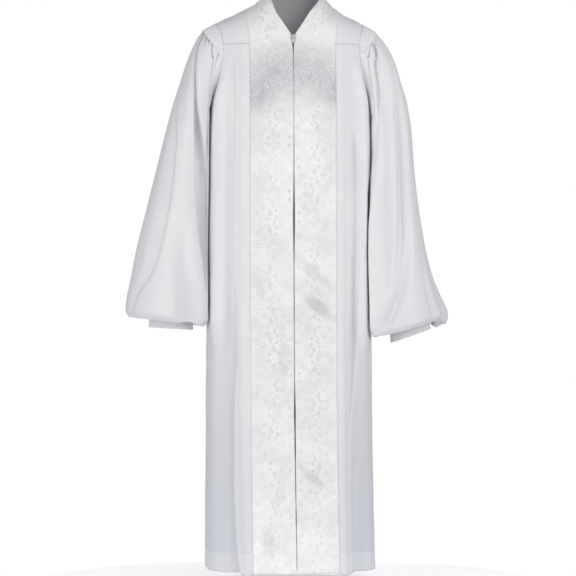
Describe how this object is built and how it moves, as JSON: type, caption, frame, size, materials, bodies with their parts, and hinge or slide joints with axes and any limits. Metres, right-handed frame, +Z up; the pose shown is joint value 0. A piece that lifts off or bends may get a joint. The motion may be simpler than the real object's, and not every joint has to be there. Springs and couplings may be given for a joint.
{
  "type": "pulpit robe",
  "caption": "Long hollow robe in its worn form: yoked shoulders, full gathered sleeves bloused over plain cuffs, fluted back, and brocade bands along a zipped front.",
  "frame": {"origin": "where the shoulders carry the robe: on the centre line, level with the middle of the shoulder slope", "axes": "+Z up from hem to neck; the front faces -Y and the back +Y; the wearer's right is -X and the left +X"},
  "size_m": [0.7742, 0.3194, 1.3895],
  "materials": {
    "crepe": "matt white crepe",
    "brocade": "white satin jacquard",
    "zip_tape": "woven tape",
    "zip_metal": "bright plated"
  },
  "bodies": {
    "robe": {"back_panel": "crepe", "brocade_left": "brocade", "brocade_right": "brocade", "cuff_left": "crepe", "cuff_right": "crepe", "front_left": "crepe", "front_right": "crepe", "sleeve_cap_left": "crepe", "sleeve_cap_right": "crepe", "sleeve_left": "crepe", "sleeve_right": "crepe", "yoke_back": "crepe", "yoke_front_left": "crepe", "yoke_front_right": "crepe", "zip_slider": "zip_metal", "zip_tape_left": "zip_tape", "zip_tape_right": "zip_tape"},
    "pull_tab": {"zip_pull": "zip_metal"}
  },
  "joints": [
    {"name": "pull_tab_swing", "type": "hinge", "parent": "robe", "child": "pull_tab", "pos_m": [0, -0.10449, -0.04738], "axis": [-1, 0, 0], "range_deg": [0, 165]}
  ]
}
